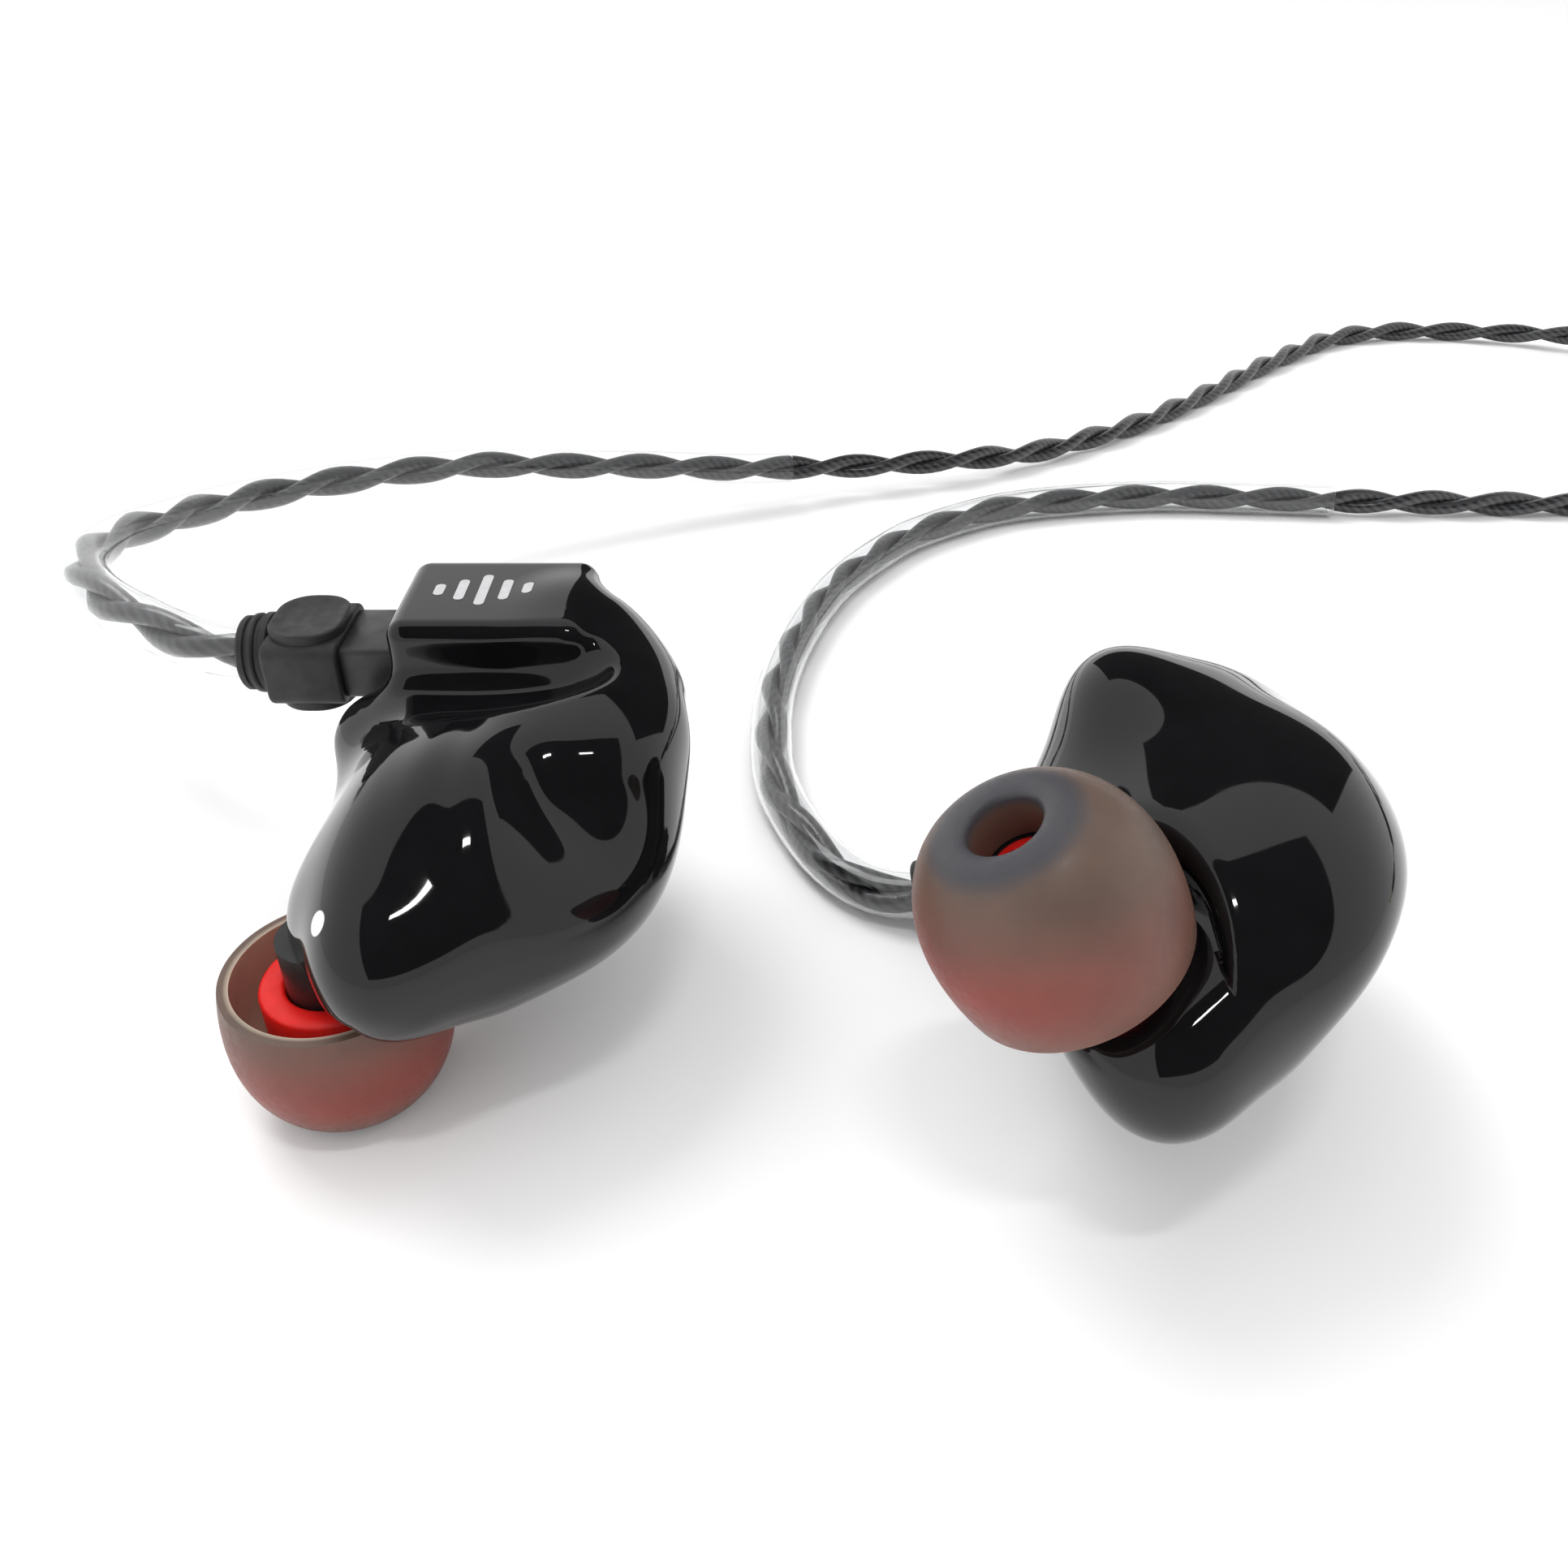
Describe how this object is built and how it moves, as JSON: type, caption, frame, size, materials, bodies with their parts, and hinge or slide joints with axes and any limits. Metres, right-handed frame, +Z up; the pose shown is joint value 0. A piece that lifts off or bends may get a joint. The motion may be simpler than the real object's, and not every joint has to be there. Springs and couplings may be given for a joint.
{
  "type": "in ear monitors",
  "caption": "Pair of gloss-black in ear monitors with silicone ear tips on a detachable two-pin cable with clear ear hooks, splitter, chin slider and jack plug.",
  "frame": {"origin": "on the table, at the middle of the box round the two monitors and their plugs", "axes": "+X from the left monitor to the right one, +Y away from the front, +Z up"},
  "size_m": [0.2232, 0.146, 0.0226],
  "materials": {
    "shell_lacquer": "black high-gloss lacquer",
    "nozzle_plastic": "black nozzle tube",
    "filter_red": "red perforated wax filter",
    "driver_steel": "bare driver can",
    "circuit_board": "green circuit board",
    "sound_tube": "translucent sound tube",
    "damper_brass": "brass acoustic damper",
    "plug_plastic": "fine matte black moulding",
    "pin_gold": "gold plating",
    "tip_silicone": "smoky translucent silicone",
    "tip_core_red": "red silicone core",
    "hook_clear": "clear formed tube",
    "cable_jacket": "dark twisted strands under a clear jacket",
    "tie_strap": "black cable tie",
    "jack_black": "black jack housing"
  },
  "bodies": {
    "cable": {"left_plug_body": "plug_plastic", "left_plug_head": "plug_plastic", "left_plug_pins": "pin_gold", "left_hook_collar": "plug_plastic", "left_ear_hook": "hook_clear", "left_lead": "cable_jacket", "right_plug_body": "plug_plastic", "right_plug_head": "plug_plastic", "right_plug_pins": "pin_gold", "right_hook_collar": "plug_plastic", "right_ear_hook": "hook_clear", "right_lead": "cable_jacket", "y_splitter": "plug_plastic", "main_cable": "cable_jacket", "main_coil": "cable_jacket", "cable_tie": "tie_strap", "jack_housing": "jack_black", "jack_strain_relief": "cable_jacket", "jack_sleeve": "pin_gold", "jack_ring": "pin_gold", "jack_tip": "pin_gold", "jack_insulators": "plug_plastic"},
    "left_monitor": {"left_shell": "shell_lacquer", "left_faceplate": "shell_lacquer", "left_nozzle": "nozzle_plastic", "left_wax_filter": "filter_red", "left_low_driver": "driver_steel", "left_high_driver": "driver_steel", "left_crossover": "circuit_board", "left_sound_tubes": "sound_tube", "left_dampers": "damper_brass", "left_socket": "plug_plastic", "left_contacts": "pin_gold"},
    "left_tip": {"left_tip_dome": "tip_silicone", "left_tip_core": "tip_core_red"},
    "right_monitor": {"right_shell": "shell_lacquer", "right_faceplate": "shell_lacquer", "right_nozzle": "nozzle_plastic", "right_wax_filter": "filter_red", "right_low_driver": "driver_steel", "right_high_driver": "driver_steel", "right_crossover": "circuit_board", "right_sound_tubes": "sound_tube", "right_dampers": "damper_brass", "right_socket": "plug_plastic", "right_contacts": "pin_gold"},
    "right_tip": {"right_tip_dome": "tip_silicone", "right_tip_core": "tip_core_red"},
    "slider": {"cable_slider": "plug_plastic"}
  },
  "joints": [
    {"name": "left_unplug", "type": "slide", "parent": "cable", "child": "left_monitor", "axis": [1, 0, 0], "range_m": [0, 0.008]},
    {"name": "right_unplug", "type": "slide", "parent": "cable", "child": "right_monitor", "axis": [0.8818, -0.0586, 0.4679], "range_m": [0, 0.008]},
    {"name": "left_tip_pull", "type": "slide", "parent": "left_monitor", "child": "left_tip", "axis": [0, 0, -1], "range_m": [0, 0.007]},
    {"name": "right_tip_pull", "type": "slide", "parent": "right_monitor", "child": "right_tip", "axis": [-0.4703, -0.0369, 0.8817], "range_m": [0, 0.007]},
    {"name": "chin_slide", "type": "slide", "parent": "cable", "child": "slider", "axis": [-1, 0, 0], "range_m": [0, 0.014]}
  ]
}
